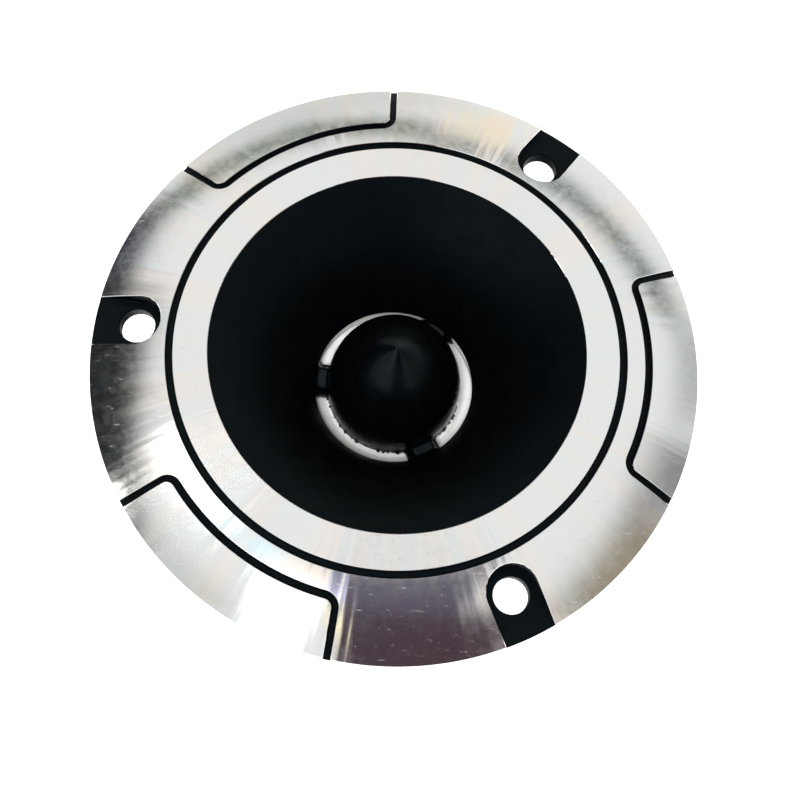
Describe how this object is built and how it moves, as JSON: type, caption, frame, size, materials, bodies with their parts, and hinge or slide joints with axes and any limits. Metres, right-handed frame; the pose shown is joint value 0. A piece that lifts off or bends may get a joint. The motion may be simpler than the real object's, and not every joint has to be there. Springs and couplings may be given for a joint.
{
  "type": "car tweeter",
  "caption": "Horn-loaded car tweeter with a domed bright metal flange, black horn and bullet phase plug, and a ring-magnet motor behind.",
  "frame": {"origin": "centre of the mounting-hole circle on the flange's back face, where it meets the baffle", "axes": "+Z out of the horn's mouth, towards the listener; +X through the middle of one flange window, over the terminals"},
  "size_m": [0.104, 0.104, 0.0476],
  "materials": {
    "turned_aluminium": "diamond-turned, bright",
    "black_paint": "satin texture coat",
    "gasket": "matt",
    "titanium": "satin",
    "surround_film": "satin film",
    "former_film": "amber film",
    "copper_wire": "enamelled copper",
    "moulded_plastic": "moulded",
    "tinned_brass": "tinned",
    "solder": "bright",
    "zinc_plated_steel": "zinc plated",
    "ferrite": "ground ceramic ferrite",
    "felt": "pressed wool",
    "black_steel": "black oxide"
  },
  "bodies": {
    "chassis": {"horn_flange": "turned_aluminium", "phase_plug": "black_paint", "throat_gasket": "gasket", "surround": "surround_film", "diaphragm_ring": "moulded_plastic", "lead_wire_positive": "copper_wire", "lead_wire_negative": "copper_wire", "terminal_positive": "tinned_brass", "terminal_negative": "tinned_brass", "terminal_rivets": "tinned_brass", "solder_joints": "solder", "top_plate": "zinc_plated_steel", "ring_magnet": "ferrite", "back_plate": "zinc_plated_steel", "pole_piece": "zinc_plated_steel", "felt_pad": "felt", "motor_screws": "black_steel", "lock_washers": "zinc_plated_steel"},
    "diaphragm": {"dome": "titanium", "coil_former": "former_film", "voice_coil": "copper_wire"}
  },
  "joints": [
    {"name": "diaphragm_travel", "type": "slide", "parent": "chassis", "child": "diaphragm", "axis": [0, 0, 1], "range_m": [-0.0003, 0.0003], "stiffness_N_per_m": 6000, "deforming": ["surround"]}
  ]
}
